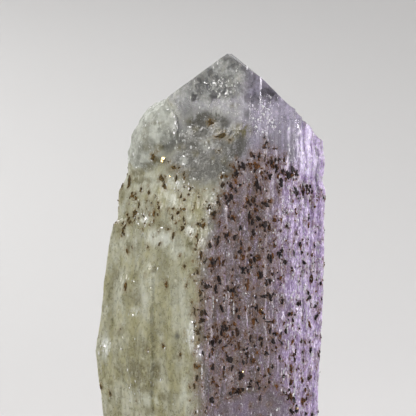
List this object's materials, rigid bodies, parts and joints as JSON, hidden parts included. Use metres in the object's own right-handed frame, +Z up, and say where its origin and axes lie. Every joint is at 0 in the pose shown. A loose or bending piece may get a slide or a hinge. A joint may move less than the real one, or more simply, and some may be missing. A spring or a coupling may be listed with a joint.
{
  "type": "danburite crystal",
  "caption": "Danburite prism with a slanting roof-shaped tip, ribbed faces and a frosted shoulder lump, broken off flat at its foot so that it stands on a shelf.",
  "frame": {"origin": "on the flat broken foot, below the middle of the crystal's bounding box", "axes": "+Z up along the prism towards the tip, the sharp front edge faces -Y, and +X points to the edge with the narrow ribbed face"},
  "size_m": [0.0244, 0.0188, 0.0477],
  "materials": {
    "danburite": "glassy with frosted, ribbed faces",
    "grains": "rough, earthy",
    "pyrite": "bright metallic"
  },
  "bodies": {
    "root": {"danburite_crystal": "danburite"}
  },
  "joints": []
}
